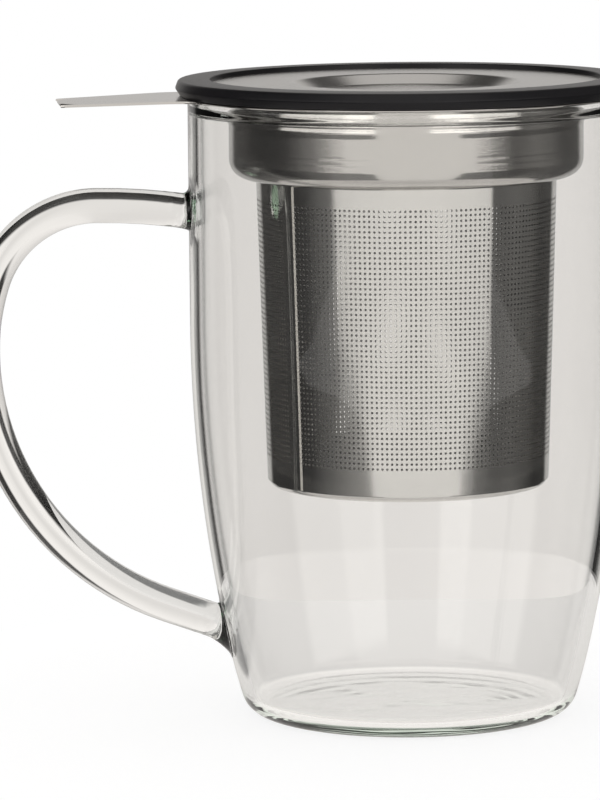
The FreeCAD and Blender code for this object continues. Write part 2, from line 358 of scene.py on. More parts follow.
def strip_faces(first, second):
    """Faces between two closed rings of vertices."""
    faces = []
    count = len(first)
    for k in range(count):
        k1 = (k + 1) % count
        faces.append([first[k], first[k1], second[k1], second[k]])
    return faces


def revolve(name, outline, segments=SEGMENTS):
    """Turn a closed outline of (r, z) points, in millimetres, round the vertical axis."""
    verts = []
    rows = []
    for r, z in outline:
        if r < 1e-6:
            rows.append([len(verts)] * segments)
            verts.append((0, 0, z * MM))
            continue
        rows.append(list(range(len(verts), len(verts) + segments)))
        for k in range(segments):
            angle = 2 * math.pi * k / segments
            verts.append((r * math.cos(angle) * MM, r * math.sin(angle) * MM, z * MM))
    faces = []
    for low, high in zip(rows, rows[1:] + rows[:1]):
        for corners in strip_faces(low, high):
            face = list(dict.fromkeys(corners))
            if len(face) > 2:
                faces.append(face)
    return add_object(name, verts, faces)


def capped(rings):
    """Faces along a row of closed rings, with the first and the last filled in."""
    faces = []
    for low, high in zip(rings, rings[1:]):
        faces += strip_faces(low, high)
    return faces + [rings[0], rings[-1]]


# Glass mug
def arc(centre, radius, start, end, steps):
    """Points on an arc, with the angles measured downwards from the right."""
    points = []
    for i in range(steps + 1):
        angle = start + (end - start) * i / steps
        points.append(centre + Vector((math.cos(angle), -math.sin(angle))) * radius)
    return points


def side_outline(inset, bottom, corner):
    """The mug's side, drawn in by inset, from the rim down to the middle of the bottom."""
    belly = Vector((BODY_RADIUS - BELLY_ARC, BELLY_START))
    lean = math.asin((BELLY_START - HEEL_START) / BELLY_ARC)
    heel = belly + Vector((math.cos(lean), -math.sin(lean))) * (BELLY_ARC - HEEL_ARC)
    reach = HEEL_ARC - inset - corner
    foot_lean = math.asin((heel.y - bottom - corner) / reach)
    turn = heel + Vector((math.cos(foot_lean), -math.sin(foot_lean))) * reach

    if inset > 0:
        points = lip(BODY_RADIUS - inset)
    else:
        rim_centre = Vector((BODY_RADIUS - RIM_ROUND, BODY_HEIGHT - RIM_ROUND))
        points = arc(rim_centre, RIM_ROUND, -math.pi / 2, 0, RIM_STEPS)
    points += arc(belly, BELLY_ARC - inset, 0, lean, BELLY_STEPS)
    points += arc(heel, HEEL_ARC - inset, lean, foot_lean, HEEL_STEPS)[1:]
    points += arc(turn, corner, foot_lean, math.pi / 2, FOOT_STEPS)[1:]
    points.append(Vector((0, bottom)))
    return points


def lip(side):
    """The inside of the fire-polished rim: a low bead that runs out into the straight wall."""
    points = []
    for i in range(LIP_STEPS + 1):
        angle = math.pi / 2 * i / LIP_STEPS
        points.append(Vector((side + RIM_ROUND - (RIM_ROUND + LIP_BULGE) * math.sin(angle),
                              BODY_HEIGHT - LIP_DEPTH / 3 * (1 - math.cos(angle)))))
    for i in range(1, LIP_STEPS + 1):
        share = i / LIP_STEPS
        points.append(Vector((side - LIP_BULGE * (1 + math.cos(math.pi * share)) / 2,
                              BODY_HEIGHT - LIP_DEPTH / 3 - LIP_DEPTH * 2 / 3 * share)))
    return points


def wall_at(z):
    """The mug's outer radius at height z, and how far the wall leans in there."""
    lean = math.asin((BELLY_START - HEEL_START) / BELLY_ARC)
    if z >= BELLY_START:
        return BODY_RADIUS, 0
    belly_x = BODY_RADIUS - BELLY_ARC
    if z >= HEEL_START:
        here = math.asin((BELLY_START - z) / BELLY_ARC)
        return belly_x + BELLY_ARC * math.cos(here), here
    heel_x = belly_x + math.cos(lean) * (BELLY_ARC - HEEL_ARC)
    heel_z = BELLY_START - math.sin(lean) * (BELLY_ARC - HEEL_ARC)
    here = math.asin((heel_z - z) / HEEL_ARC)
    return heel_x + HEEL_ARC * math.cos(here), here


def heading_vector(heading):
    return Vector((math.cos(heading), 0, math.sin(heading)))


def bend(stations, radius, turn):
    """Carry a path on from its last place, turning left on an arc."""
    at, heading = stations[-1]
    centre = at + heading_vector(heading + math.pi / 2) * radius
    steps = max(4, math.ceil(turn / PATH_STEP))
    for i in range(1, steps + 1):
        there = heading + turn * i / steps
        stations.append((centre - heading_vector(there + math.pi / 2) * radius, there))


def rod_stations():
    """Places and headings of the rod's middle line, from wall to wall."""
    rise = math.asin(ARCH_OUT / ARCH_ARC)
    peak = BODY_HEIGHT - HANDLE_BELOW_RIM
    start = Vector((-BODY_RADIUS, 0, peak - ARCH_ARC * (1 - math.cos(rise))))
    shoulder = math.radians(SHOULDER_TURN)
    stations = [(start, math.pi - rise)]
    bend(stations, ARCH_ARC, rise)
    bend(stations, SHOULDER_ARC, shoulder)
    bend(stations, BACK_ARC, math.pi / 2 - shoulder)
    bend(stations, SWEEP_ARC, math.radians(SWEEP_TURN))
    at, heading = stations[-1]
    near = 0
    far = -at.x / math.cos(heading)
    while far - near > 1e-6:
        middle = (near + far) / 2
        there = at + heading_vector(heading) * middle
        if -there.x > wall_at(there.z)[0]:
            near = middle
        else:
            far = middle
    steps = 8
    for i in range(1, steps + 1):
        stations.append((at + heading_vector(heading) * (near * i / steps), heading))
    return stations


def melted_end(joint, wall_heading, left, right):
    """Sections where the rod flares onto the wall, from inside the wall outwards."""
    at, heading = joint
    length = max(left, right)
    sections = []
    for i in range(MELT_STEPS + 1):
        share = (i / MELT_STEPS) ** MELT_GATHER
        flare = 1 - math.sqrt(1 - (1 - share) ** 2)
        tilt = (wall_heading - heading) * (1 - share)
        side = heading_vector(heading + tilt + math.pi / 2)
        centre = at + heading_vector(heading) * (length * share)
        centre += side * ((left - right) / 2 * flare)
        spread = (left + right) / 2 * flare
        tall = ROD_RADIUS / math.cos(tilt) + spread
        sections.append((centre, heading + tilt, tall, ROD_RADIUS + spread / 2))
    centre, section_heading, tall, wide = sections[0]
    buried = centre - heading_vector(section_heading) * ROD_BITE
    return [(buried, section_heading, tall, wide)] + sections


def handle_sections():
    stations = rod_stations()
    top_at, top_heading = stations[0]
    foot_at, foot_heading = stations[-1]
    lean = wall_at(foot_at.z)[1]
    top = melted_end((top_at, top_heading), math.pi, TOP_MELT_BELOW, TOP_MELT_ABOVE)
    foot_joint = (foot_at, foot_heading - math.pi)
    foot = melted_end(foot_joint, lean + math.pi, FOOT_MELT_BELOW, FOOT_MELT_ABOVE)
    sections = list(top)
    for at, heading in stations[1:-1]:
        clear_of_top = (at - top_at).length > TOP_MELT_ABOVE + MELT_CLEAR
        clear_of_foot = (at - foot_at).length > FOOT_MELT_BELOW + MELT_CLEAR
        if clear_of_top and clear_of_foot:
            sections.append((at, heading, ROD_RADIUS, ROD_RADIUS))
    for centre, heading, tall, wide in foot[::-1]:
        sections.append((centre, heading + math.pi, tall, wide))
    return sections


def tube(name, sections):
    """A closed tube through (centre, heading, tall, wide) sections in the XZ plane."""
    verts = []
    rings = []
    for centre, heading, tall, wide in sections:
        rings.append(list(range(len(verts), len(verts) + ROD_SIDES)))
        up = heading_vector(heading + math.pi / 2)
        for k in range(ROD_SIDES):
            angle = 2 * math.pi * k / ROD_SIDES
            there = centre + up * (tall * math.cos(angle)) + Vector((0, wide * math.sin(angle), 0))
            verts.append(there * MM)
    return add_object(name, verts, capped(rings))


def join_solids(main, other):
    """Melt the second closed piece into the first and delete it."""
    union = main.modifiers.new("melt", "BOOLEAN")
    union.operation = "UNION"
    union.solver = "EXACT"
    union.object = other
    graph = bpy.context.evaluated_depsgraph_get()
    mesh = bpy.data.meshes.new_from_object(main.evaluated_get(graph))
    main.modifiers.clear()
    main.data = mesh
    mesh.shade_smooth()
    mesh.set_sharp_from_angle(angle=MELT_SHARP)
    bpy.data.objects.remove(other)


def mug_glass(glass):
    outer = side_outline(0, 0, FOOT_CORNER)
    inner = side_outline(WALL, BASE_THICKNESS, INNER_CORNER)
    mug = revolve("mug_glass", [tuple(p) for p in outer + inner[::-1]])
    rod = tube("handle_glass", handle_sections())
    join_solids(mug, rod)
    finish_piece(mug, "mug", glass, ["mug_body", "mug_handle"])


# Infuser collar
def tab_reach(angle):
    """How far the flange and its tab reach from the axis at an angle from the tab's middle."""
    side_x = FLANGE_RADIUS - TAB_ROOT_WIDTH / 4
    tip_x = FLANGE_RADIUS + TAB_REACH
    half_root = TAB_ROOT_WIDTH / 2
    half_tip = TAB_TIP_WIDTH / 2
    spread = abs(angle)
    slope = (half_tip - half_root) / (tip_x - side_x)
    tangent = math.tan(spread)
    side = (half_root - slope * side_x) / (tangent - slope) if tangent > slope else tip_x
    if spread < TAB_SPREAD:
        along = min(side, tip_x) if side > 0 else tip_x
    else:
        along = 0
    corner_x = tip_x - TAB_CORNER
    lean = math.atan(-slope)
    corner_y = half_tip - slope * (corner_x - tip_x) - TAB_CORNER / math.cos(lean)
    corner = Vector((corner_x, corner_y))
    direction = Vector((math.cos(spread), math.sin(spread)))
    reach = along / math.cos(spread) if along else 0
    middle = corner.dot(direction)
    gap = corner.length_squared - middle * middle
    touch = corner + Vector((math.sin(lean), math.cos(lean))) * TAB_CORNER
    touch_high = math.atan2(touch.y, touch.x)
    touch_low = math.atan2(corner.y, tip_x)
    if touch_low < spread < touch_high and gap < TAB_CORNER ** 2:
        reach = middle + math.sqrt(TAB_CORNER ** 2 - gap)
    return max(reach, FLANGE_RADIUS, root_fillet_reach(direction, slope))


def root_fillet_reach(direction, slope):
    """Reach of the fillet in the notch between the flange's rim and the tab's side."""
    normal = Vector((-slope, 1)).normalized()
    foot = Vector((FLANGE_RADIUS - TAB_ROOT_WIDTH / 4, TAB_ROOT_WIDTH / 2))
    offset = foot.dot(normal) + TAB_ROOT_FILLET
    along = Vector((normal.y, -normal.x))
    ring = FLANGE_RADIUS + TAB_ROOT_FILLET
    centre = normal * offset + along * math.sqrt(ring ** 2 - offset ** 2)
    touch_ring = centre.normalized() * FLANGE_RADIUS
    touch_side = centre - normal * TAB_ROOT_FILLET
    low = math.atan2(touch_side.y, touch_side.x)
    high = math.atan2(touch_ring.y, touch_ring.x)
    here = math.atan2(direction.y, direction.x)
    if not low < here < high:
        return 0
    middle = centre.dot(direction)
    gap = centre.length_squared - middle * middle
    return middle - math.sqrt(max(TAB_ROOT_FILLET ** 2 - gap, 0))


def collar_angles():
    """Columns of the collar: close together where the tab's outline needs them."""
    angles = []
    for i in range(FINE_COLUMNS):
        angles.append(-TAB_FINE + 2 * TAB_FINE * i / FINE_COLUMNS)
    for i in range(COARSE_COLUMNS):
        angles.append(TAB_FINE + (2 * math.pi - 2 * TAB_FINE) * i / COARSE_COLUMNS)
    return angles


def droop(x):
    """How far the tab has sunk at a distance from the axis."""
    start = FLANGE_RADIUS + TAB_BEND_OUT
    end = FLANGE_RADIUS + TAB_REACH
    run = max(x - start, 0)
    slope = TAB_DROOP / (end - start)
    if run < TAB_DROOP_BLEND:
        return slope * run * run / (2 * TAB_DROOP_BLEND)
    return slope * (run - TAB_DROOP_BLEND / 2)


def bead_height(z):
    """How far the rolled beads stand out of the collar's side at a height."""
    total = 0
    for middle, half, rise in BEADS:
        off = abs(z - middle) / half
        if off < 1:
            total += rise * (1 + math.cos(math.pi * off)) / 2
    return total


def beaded(section):
    """Roll the beads into the collar's upright stretch."""
    points = []
    least_height = 5
    for a, b in zip(section, section[1:] + section[:1]):
        points.append(a)
        upright = abs(a.x - b.x) < 0.01 and abs(a.y - b.y) > least_height
        if not upright or a.x <= COLLAR_RADIUS - 2 * SHEET:
            continue
        for i in range(1, BEAD_STEPS):
            point = a.lerp(b, i / BEAD_STEPS)
            points.append(Vector((point.x + bead_height(point.y), point.y)))
    return points


def infuser_collar(steel):
    neck_foot = CUP_FLOOR - NECK_DEPTH
    neck = basket_radius(neck_foot) - MESH_SHEET - WELD_GAP
    mouth = COLLAR_RADIUS + MOUTH_BEND + MOUTH_RUN
    path = [
        (neck, neck_foot, 0),
        (neck, CUP_FLOOR, NECK_BEND),
        (COLLAR_RADIUS, CUP_FLOOR, CUP_BEND),
        (COLLAR_RADIUS, BODY_HEIGHT, MOUTH_BEND),
        (mouth, BODY_HEIGHT, 0),
    ]
    section = beaded(rounded(sheet_corners(path, SHEET)))
    split = next(i for i, p in enumerate(section) if p.x > mouth - 1e-3)
    under = section[:split + 1]
    over = section[split + 1:]
    verts = []
    columns = []
    for angle in collar_angles():
        reach = tab_reach((angle + math.pi) % (2 * math.pi) - math.pi)
        line = [(p.x, p.y) for p in under]
        flat = []
        for i in range(1, FLANGE_STEPS + 1):
            flat.append(mouth + (reach - EDGE_ROUND - mouth) * i / FLANGE_STEPS)
        line += [(r, BODY_HEIGHT) for r in flat]
        line += [(reach, BODY_HEIGHT + EDGE_ROUND), (reach, FLANGE_TOP - EDGE_ROUND)]
        line += [(r, FLANGE_TOP) for r in flat[::-1]]
        line += [(p.x, p.y) for p in over]
        start = len(verts)
        for r, z in line:
            x = r * math.cos(angle)
            verts.append((-x * MM, -r * math.sin(angle) * MM, (z - droop(x)) * MM))
        columns.append(list(range(start, len(verts))))
    faces = []
    for a, b in zip(columns, columns[1:] + columns[:1]):
        for i in range(len(a)):
            j = (i + 1) % len(a)
            faces.append([a[i], b[i], b[j], a[j]])
    collar = add_object("infuser_collar_sheet", verts, faces)
    finish_piece(collar, "infuser", steel, ["infuser_collar"])


# Basket
def cone_point(angle, z, depth):
    """A point on the basket's wall, that far in from its outer face."""
    r = basket_radius(z) - depth
    return (r * math.cos(angle) * MM, r * math.sin(angle) * MM, z * MM)


def perforated_sheet(name, steel, first_column, columns, step, start):
    """A stretch of the basket's wall: a grid of cells, each with a round hole through the sheet."""
    top_row = CUP_FLOOR - TOP_BAND
    sides = len(SQUARE)
    verts = []
    index = {}

    def vertex(key, angle, z, depth):
        if key not in index:
            index[key] = len(verts)
            verts.append(cone_point(angle, z, depth))
        return index[key]

    faces = []
    for column in range(first_column, first_column + columns):
        middle = start + (column + 0.5) * step
        for row in range(HOLE_ROWS):
            z = top_row - row * HOLE_PITCH
            radius_angle = HOLE_RADIUS / basket_radius(z)
            rings = []
            for depth in (0, MESH_SHEET):
                square = []
                for k in range(sides):
                    du, dv = SQUARE[k]
                    key = (depth, 2 * column + 1 + du, 2 * row + 1 - dv)
                    square.append(vertex(key, middle + du * step / 2, z + dv * HOLE_PITCH / 2, depth))
                hole = []
                for k in range(sides):
                    turn = 2 * math.pi * k / sides
                    u = middle + radius_angle * math.cos(turn)
                    hole.append(vertex((depth, column, row, k, "hole"), u,
                                       z + HOLE_RADIUS * math.sin(turn), depth))
                rings.append((square, hole))
            for square, hole in rings:
                faces += strip_faces(square, hole)
            faces += strip_faces(rings[0][1], rings[1][1])
    piece = add_object(name, verts, faces)
    finish_piece(piece, "infuser", steel, ["basket_wall"])


def plain_band(name, low, high, steel):
    """A stretch of the wall all round without holes."""
    corners = [
        (basket_radius(low) - MESH_SHEET, low, 0),
        (basket_radius(low), low, 0),
        (basket_radius(high), high, 0),
        (basket_radius(high) - MESH_SHEET, high, 0),
    ]
    band = revolve(name, [tuple(p) for p in rounded(corners)], segments=HOLE_COLUMNS * 2)
    finish_piece(band, "infuser", steel, ["basket_wall"])


def lap_strip(steel, first, last):
    """The raised strip of the lapped seam, which has no holes."""
    width_steps = 10
    height_steps = 40
    verts = []
    rings = []
    profile = [(first, MESH_SHEET), (first, LAP_EDGE - MESH_SHEET)]
    for i in range(width_steps + 1):
        share = i / width_steps
        crown = math.sin(math.pi * share) * LAP_CROWN
        profile.append((first + (last - first) * share, -MESH_SHEET - crown))
    profile += [(last, LAP_EDGE - MESH_SHEET), (last, MESH_SHEET)]
    for j in range(height_steps + 1):
        z = BASKET_BOTTOM + BASKET_LENGTH * j / height_steps
        rings.append(list(range(len(verts), len(verts) + len(profile))))
        for angle, depth in profile:
            verts.append(cone_point(angle, z, depth))
    strip = add_object("lap_strip", verts, capped(rings))
    finish_piece(strip, "infuser", steel, ["basket_wall"])


def basket(steel):
    lap_centre = math.radians(LAP_AZIMUTH)
    lap_half = LAP_WIDTH / BASKET_TOP_RADIUS / 2
    start = lap_centre + lap_half
    columns = HOLE_COLUMNS - LAP_COLUMNS
    step = (2 * math.pi - 2 * lap_half) / columns
    parts = 3
    for part in range(parts):
        first = columns * part // parts
        last = columns * (part + 1) // parts
        name = "perforated_sheet_%d" % (part + 1)
        perforated_sheet(name, steel, first, last - first, step, start)
    top_row = CUP_FLOOR - TOP_BAND
    plain_band("basket_top_band", top_row + HOLE_PITCH / 2, CUP_FLOOR, steel)
    low = top_row - (HOLE_ROWS - 0.5) * HOLE_PITCH
    plain_band("basket_bottom_band", BASKET_BOTTOM, low, steel)
    lap_strip(steel, lap_centre - lap_half, lap_centre + lap_half)


def basket_floor(steel):
    bottom = BASKET_BOTTOM - FLOOR_BELOW_WALL
    radius = basket_radius(BASKET_BOTTOM) - MESH_SHEET - WELD_GAP
    path = [
        (0, bottom, 0),
        (radius, bottom, FLOOR_BEND + FLOOR_SHEET),
        (radius, BASKET_BOTTOM + FLOOR_SKIRT, 0),
    ]
    outline = rounded(sheet_corners(path, FLOOR_SHEET))
    floor = revolve("basket_floor_cup", [tuple(p) for p in outline])
    finish_piece(floor, "infuser", steel, ["basket_floor"])


# Lid
def lid_plate(steel):
    well_floor = WELL_RADIUS - WELL_SLOPE_WIDTH
    under = PLATE_TOP - PLATE_SHEET
    path = [
        (0, under - WELL_DEPTH, 0),
        (well_floor, under - WELL_DEPTH, WELL_BEND),
        (WELL_RADIUS, under, WELL_BEND),
        (RING_RADIUS - RING_FACE + PLATE_BITE, under, 0),
    ]
    outline = rounded(sheet_corners(path, PLATE_SHEET))
    plate = revolve("lid_plate_disc", [tuple(p) for p in outline])
    finish_piece(plate, "lid", steel, ["lid_plate"])


def lid_ring(silicone):
    inner = RING_RADIUS - RING_FACE
    groove = inner + PLATE_BITE
    under = PLATE_TOP - PLATE_SHEET
    spigot = COLLAR_RADIUS - SHEET - SPIGOT_GAP
    corners = [
        (spigot - SPIGOT_WIDTH, FLANGE_TOP - SPIGOT_DEPTH, SPIGOT_ROUND),
        (spigot, FLANGE_TOP - SPIGOT_DEPTH, SPIGOT_ROUND),
        (spigot, FLANGE_TOP, SPIGOT_ROOT_ROUND),
        (RING_RADIUS - RING_INSET, FLANGE_TOP, RING_FOOT_ROUND),
        (RING_RADIUS, FLANGE_TOP + RING_CROWN, RING_SIDE_ROUND),
        (RING_RADIUS - RING_LEAN, RING_TOP - RING_SLOPE, RING_ROUND),
        (inner, RING_TOP, RING_LIP_ROUND),
        (inner, PLATE_TOP, 0),
        (groove, PLATE_TOP, 0),
        (groove, under, 0),
        (spigot - SPIGOT_WIDTH, under, 0),
    ]
    ring = revolve("lid_ring_silicone", [tuple(p) for p in rounded(corners)])
    finish_piece(ring, "lid", silicone, ["lid_ring"])


# Arithmetic in node trees
class Sums:
    """Builds arithmetic from nodes: each call adds nodes and gives their output."""

    def __init__(self, tree):
        self.nodes = tree.nodes
        self.links = tree.links

    def feed(self, socket, value):
        if isinstance(value, bpy.types.NodeSocket):
            self.links.new(value, socket)
        else:
            socket.default_value = value

    def math(self, operation, a, b=0.0):
        node = self.nodes.new("ShaderNodeMath")
        node.operation = operation
        self.feed(node.inputs[0], a)
        self.feed(node.inputs[1], b)
        return node.outputs[0]

    def plus(self, a, b):
        return self.math("ADD", a, b)

    def minus(self, a, b):
        return self.math("SUBTRACT", a, b)

    def times(self, a, b):
        return self.math("MULTIPLY", a, b)

    def from_axis(self, x, y):
        return self.math("SQRT", self.plus(self.times(x, x), self.times(y, y)))

    def measure(self, operation, a, b):
        """The number that an operation on two vectors gives."""
        node = self.nodes.new("ShaderNodeVectorMath")
        node.operation = operation
        self.feed(node.inputs[0], a)
        self.feed(node.inputs[1], b)
        return node.outputs["Value"]

    def dot(self, a, b):
        return self.measure("DOT_PRODUCT", a, b)

    def step(self, value, low, high, out_low=0.0, out_high=1.0):
        """A smooth step from out_low to out_high as the value goes from low to high."""
        node = self.nodes.new("ShaderNodeMapRange")
        node.interpolation_type = "SMOOTHSTEP"
        self.feed(node.inputs["Value"], value)
        self.feed(node.inputs["From Min"], low)
        self.feed(node.inputs["From Max"], high)
        self.feed(node.inputs["To Min"], out_low)
        self.feed(node.inputs["To Max"], out_high)
        return node.outputs["Result"]

    def line(self, value, points):
        """A level that goes in straight runs through (value, level) points."""
        total = points[0][1]
        for (x0, y0), (x1, y1) in zip(points, points[1:]):
            node = self.nodes.new("ShaderNodeMapRange")
            node.interpolation_type = "LINEAR"
            self.feed(node.inputs["Value"], value)
            node.inputs["From Min"].default_value = x0
            node.inputs["From Max"].default_value = x1
            node.inputs["To Min"].default_value = 0.0
            node.inputs["To Max"].default_value = y1 - y0
            total = self.plus(total, node.outputs["Result"])
        return total

    def spot(self, direction, aim, spread, soft):
        """1 within the spread, in degrees, of the aim and 0 beyond it."""
        facing = self.dot(direction, Vector(aim).normalized())
        off = self.math("DEGREES", self.math("ARCCOSINE", facing))
        return self.step(off, spread - soft, spread + soft, 1.0, 0.0)

    def split(self, vector):
        node = self.nodes.new("ShaderNodeSeparateXYZ")
        self.links.new(vector, node.inputs["Vector"])
        return node.outputs

    def join(self, x, y, z):
        node = self.nodes.new("ShaderNodeCombineXYZ")
        for socket, value in zip(node.inputs, (x, y, z)):
            self.feed(socket, value)
        return node.outputs["Vector"]

    def near(self, place, point, close, far):
        """1 closer to the point than close, and 0 beyond far."""
        return self.step(self.measure("DISTANCE", place, point), close, far, 1.0, 0.0)

    def noise(self, vector, scale, detail):
        node = self.nodes.new("ShaderNodeTexNoise")
        node.inputs["Scale"].default_value = scale
        node.inputs["Detail"].default_value = detail
        self.links.new(vector, node.inputs["Vector"])
        return node.outputs["Fac"]

    def blend(self, share, a, b):
        node = self.nodes.new("ShaderNodeMix")
        node.data_type = "RGBA"
        node.clamp_factor = False
        self.feed(node.inputs[0], share)
        for socket, value in ((node.inputs[6], a), (node.inputs[7], b)):
            self.feed(socket, (*value, 1) if isinstance(value, tuple) else value)
        return node.outputs[2]


# Materials
def new_material(name):
    material = bpy.data.materials.new(name)
    material.use_nodes = True
    return material, material.node_tree.nodes, material.node_tree.links


def add_bump(nodes, links, height, depth):
    """Roughen the shader's surface by a height between 0 and 1, which is depth metres at most."""
    bump = nodes.new("ShaderNodeBump")
    bump.inputs["Strength"].default_value = 1.0
    bump.inputs["Distance"].default_value = depth
    links.new(height, bump.inputs["Height"])
    links.new(bump.outputs["Normal"], nodes["Principled BSDF"].inputs["Normal"])


def glass_material():
    """Clear blown glass: a faint waviness, and a green-grey tint where the light's path is long."""
    material, nodes, links = new_material("clear_glass")
    shader = nodes["Principled BSDF"]
    shader.inputs["Base Color"].default_value = (1, 1, 1, 1)
    shader.inputs["Roughness"].default_value = 0.0
    shader.inputs["IOR"].default_value = GLASS_INDEX
    shader.inputs["Transmission Weight"].default_value = 1.0
    sums = Sums(material.node_tree)
    place = nodes.new("ShaderNodeTexCoord").outputs["Object"]
    near_joint = 0.0
    for at, heading in (rod_stations()[0], rod_stations()[-1]):
        near_joint = sums.math("MAXIMUM", near_joint, sums.near(place, at * MM, *JOINT_FADE))
    near_foot = sums.near(place, (0.0, 0.0, 0.0), *FOOT_FADE)
    height = 0.0
    for (scale, share), where in ((WAVES, 1.0), (JOINT_WAVES, near_joint), (FOOT_WAVES, near_foot)):
        ripple = sums.times(sums.noise(place, scale, 1.0), sums.times(where, share))
        height = sums.plus(height, ripple)
    add_bump(nodes, links, height, GLASS_BUMP)
    tint = nodes.new("ShaderNodeVolumeAbsorption")
    tint.inputs["Color"].default_value = GLASS_TINT
    tint.inputs["Density"].default_value = GLASS_DENSITY
    links.new(tint.outputs["Volume"], nodes["Material Output"].inputs["Volume"])
    return material


def steel_material(name, colour, roughness, grain_depth, brushed=0.0, painted_pale_inside=0.0):
    """Bright rolled steel with a fine grain, brushed round the axis where asked, and its inward-facing
    faces painted a pale matt to lighten the inside.
    """
    material, nodes, links = new_material(name)
    shader = nodes["Principled BSDF"]
    sums = Sums(material.node_tree)
    coordinates = nodes.new("ShaderNodeTexCoord")
    place = coordinates.outputs["Object"]
    x, y, z = sums.split(place)
    turn = sums.math("ARCTAN2", x, sums.times(y, -1.0))
    rolled = sums.join(sums.times(turn, STREAKS_ROUND), sums.times(sums.from_axis(x, y), STREAK_SCALE),
                       sums.times(z, STREAK_SCALE))
    streaks = sums.noise(rolled, 1.0, 2.0)
    grain = sums.noise(place, GRAIN_SCALE, 3.0)
    height = sums.plus(sums.times(grain, 1.0 - brushed), sums.times(streaks, brushed))
    add_bump(nodes, links, height, grain_depth)
    dull = tuple(c * DULL_SHARE for c in colour)
    outside = sums.blend(height, dull, colour)
    # Painted light: inward-facing faces blend to a pale matt non-metal that lightens the inside
    facing = sums.dot(coordinates.outputs["Normal"], sums.join(x, y, 0.0))
    painted_pale_share = sums.step(facing, *INWARD_FACING, painted_pale_inside, 0.0)
    gloss = sums.times(sums.plus(height, ROUGHNESS_BASE), roughness / 2)
    links.new(gloss, shader.inputs["Roughness"])
    links.new(sums.blend(painted_pale_share, outside, PAINTED_PALE_STEEL), shader.inputs["Base Color"])
    links.new(sums.minus(1.0, painted_pale_share), shader.inputs["Metallic"])
    return material


def silicone_material():
    """Soft black silicone: satin, with a fine dusty mottling."""
    material, nodes, links = new_material("black_silicone")
    shader = nodes["Principled BSDF"]
    shader.inputs["IOR"].default_value = SILICONE_INDEX
    shader.inputs["Specular IOR Level"].default_value = SILICONE_SPECULAR
    shader.inputs["Sheen Weight"].default_value = SILICONE_SHEEN
    shader.inputs["Sheen Roughness"].default_value = 0.5
    sums = Sums(material.node_tree)
    place = nodes.new("ShaderNodeTexCoord").outputs["Object"]
    dust = sums.noise(place, DUST_SCALE, 4.0)
    links.new(sums.blend(dust, SILICONE_DARK, SILICONE_PALE), shader.inputs["Base Color"])
    links.new(sums.line(dust, SILICONE_ROUGHNESS), shader.inputs["Roughness"])
    return material


def finish_piece(piece, body, material, nodes):
    piece.data.materials.clear()
    piece.data.materials.append(material)
    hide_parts(*nodes)
    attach(piece, body)


# Studio
def studio_floor():
    """A pale round table that shows as white and keeps a soft shadow under the mug; through the glass it
    shows a painted glow under the foot and a painted dark patch of shade to the left.
    """
    sides = 96
    corners = []
    for k in range(sides):
        angle = 2 * math.pi * k / sides
        corners.append((FLOOR_RADIUS * math.cos(angle), FLOOR_RADIUS * math.sin(angle), -FLOOR_DROP))
    mesh = bpy.data.meshes.new("studio_floor")
    mesh.from_pydata(corners, [], [tuple(range(sides))])
    floor = bpy.data.objects.new("studio_floor", mesh)
    bpy.context.scene.collection.objects.link(floor)
    material, nodes, links = new_material("studio_white_painted_glow")
    sums = Sums(material.node_tree)
    shader = nodes["Principled BSDF"]
    shader.inputs["Base Color"].default_value = FLOOR_COLOUR
    shader.inputs["Roughness"].default_value = 1.0
    shader.inputs["Specular IOR Level"].default_value = 0.0
    path = nodes.new("ShaderNodeLightPath")
    through = path.outputs["Is Transmission Ray"]
    mirrored = sums.times(path.outputs["Is Glossy Ray"], sums.minus(1.0, through))
    tone = sums.blend(sums.math("MAXIMUM", mirrored, through), WHITE, BACKDROP)
    level = sums.times(path.outputs["Is Camera Ray"], FLOOR_SEEN)
    level = sums.plus(level, sums.times(mirrored, FLOOR_MIRRORED))
    x, y = sums.split(nodes.new("ShaderNodeTexCoord").outputs["Object"])[:2]
    reach = sums.from_axis(x, y)
    # Painted light seen through the glass: the floor glows brighter under the foot than beyond it
    painted_light_through = sums.step(reach, FOOT_REACH - FOOT_SOFT, FOOT_REACH + FOOT_SOFT,
                    FLOOR_PAINTED_GLOW_UNDER_FOOT, FLOOR_BEYOND)
    # The painted dark patch of shade on the floor to the left, just behind the mug
    deep = sums.times(sums.step(y, *PATCH_NEAR), sums.step(y, *PATCH_FAR, 1.0, 0.0))
    beside = sums.times(sums.step(x, *PATCH_LEFT, PAINTED_PATCH_SHADE, 0.0), deep)
    painted_light_through = sums.times(painted_light_through, sums.minus(1.0, beside))
    level = sums.plus(level, sums.times(through, painted_light_through))
    links.new(tone, shader.inputs["Emission Color"])
    links.new(level, shader.inputs["Emission Strength"])
    mesh.materials.append(material)


